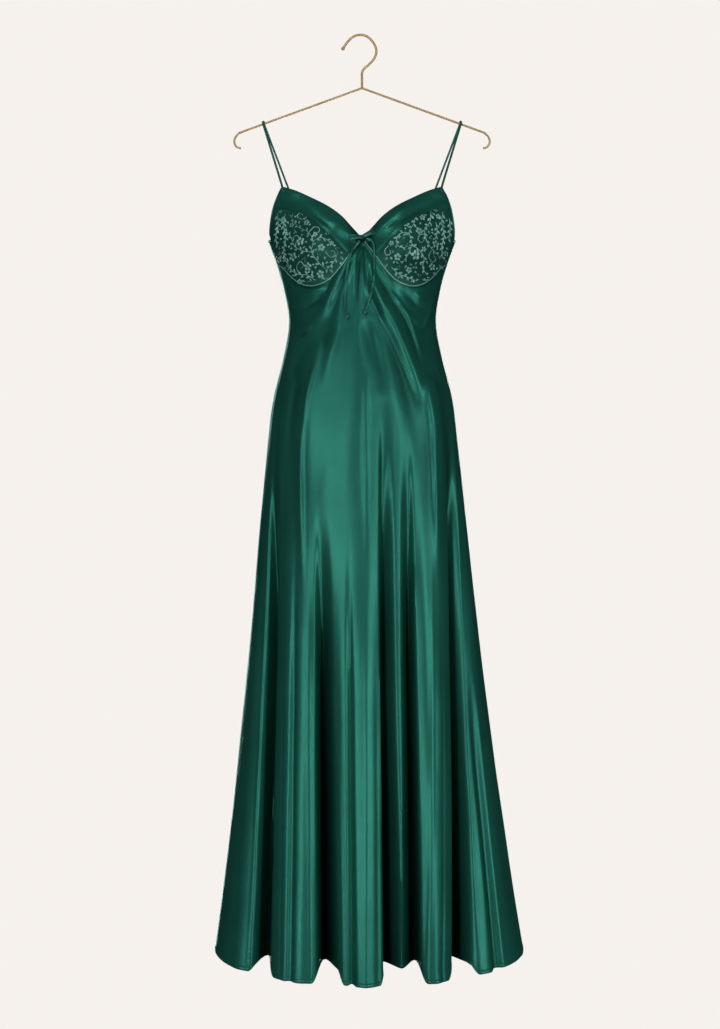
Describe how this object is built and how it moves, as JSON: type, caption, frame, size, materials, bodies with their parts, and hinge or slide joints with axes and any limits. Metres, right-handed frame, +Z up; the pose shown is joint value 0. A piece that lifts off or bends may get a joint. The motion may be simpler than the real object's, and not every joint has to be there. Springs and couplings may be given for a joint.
{
  "type": "evening gown on a wire hanger",
  "caption": "Floor-length satin slip gown with embroidered cups, thin straps and a small bow, hanging open and hollow from a bent-wire hanger.",
  "frame": {"origin": "inside top of the hanger's hook, where the hanger is held", "axes": "+Z up, +X to the right of a viewer who faces the gown's front, the front faces -Y"},
  "size_m": [0.5038, 0.2533, 1.5189],
  "materials": {
    "satin": "deep green silk satin with a soft sheen",
    "embroidered_satin": "dark green satin with mint thread embroidery",
    "trim": "narrow satin piping and cord",
    "gilt_wire": "brushed gilt wire"
  },
  "bodies": {
    "root": {"skirt_front": "satin", "skirt_back": "satin", "cup_left": "embroidered_satin", "cup_right": "embroidered_satin", "band_left": "satin", "band_right": "satin", "piping_left": "trim", "piping_right": "trim", "binding_left": "satin", "binding_right": "satin", "binding_back": "satin", "strap_left": "satin", "strap_right": "satin", "tab_left": "satin", "tab_right": "satin", "bow_knot": "trim", "bow_loop_left": "trim", "bow_loop_right": "trim", "bow_tail_left": "trim", "bow_tail_right": "trim", "hanger_arms": "gilt_wire", "hanger_hook": "gilt_wire"}
  },
  "joints": []
}
